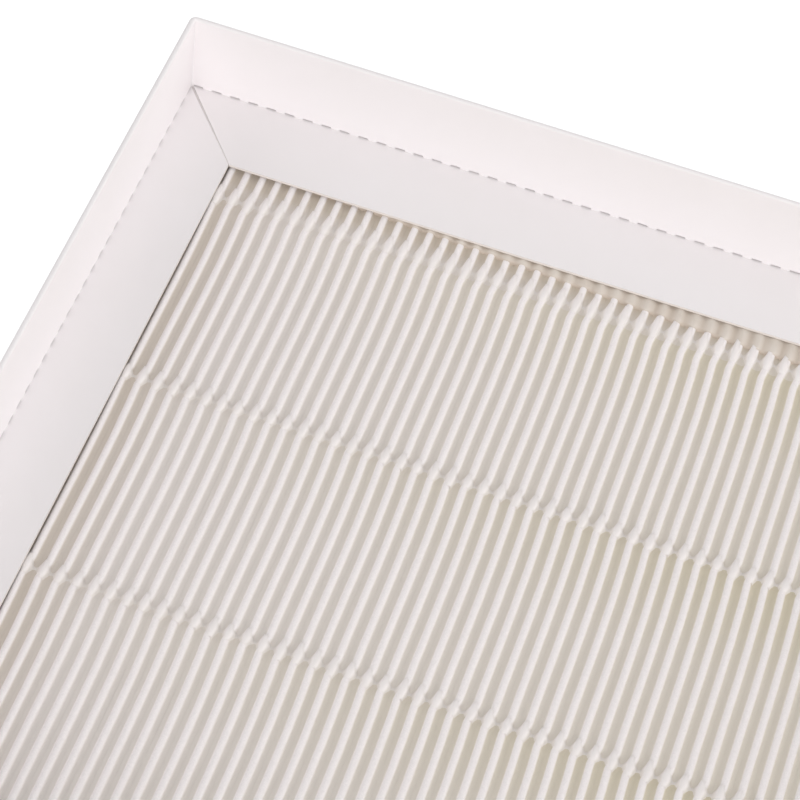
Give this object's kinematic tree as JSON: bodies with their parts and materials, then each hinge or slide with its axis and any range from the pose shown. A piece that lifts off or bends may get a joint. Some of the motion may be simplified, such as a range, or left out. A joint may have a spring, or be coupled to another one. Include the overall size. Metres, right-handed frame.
{
  "type": "air purifier filter",
  "caption": "Panel filter for an air purifier: fine pleated media held apart by glue threads, in a folded white board frame with a deep front recess.",
  "frame": {"origin": "centre of the filter's outer box, on the outer face of the back flange that it rests on", "axes": "+Z out of the front recess, +X across the pleats, +Y along the pleats"},
  "size_m": [0.221, 0.206, 0.05],
  "materials": {
    "white_board": "smooth white coated board",
    "filter_media": "soft matt nonwoven, cream white",
    "glue_thread": "translucent hot-melt glue, soft gloss",
    "seal_glue": "beige hot-melt glue, satin"
  },
  "bodies": {
    "root": {"frame": "white_board", "pleated_media": "filter_media", "front_glue_thread_1": "glue_thread", "front_glue_thread_2": "glue_thread", "front_glue_thread_3": "glue_thread", "front_glue_thread_4": "glue_thread", "back_glue_thread_1": "glue_thread", "back_glue_thread_2": "glue_thread", "back_glue_thread_3": "glue_thread", "back_glue_thread_4": "glue_thread", "left_side_seal": "seal_glue", "right_side_seal": "seal_glue", "far_end_seal": "seal_glue", "near_end_seal": "seal_glue"}
  },
  "joints": []
}
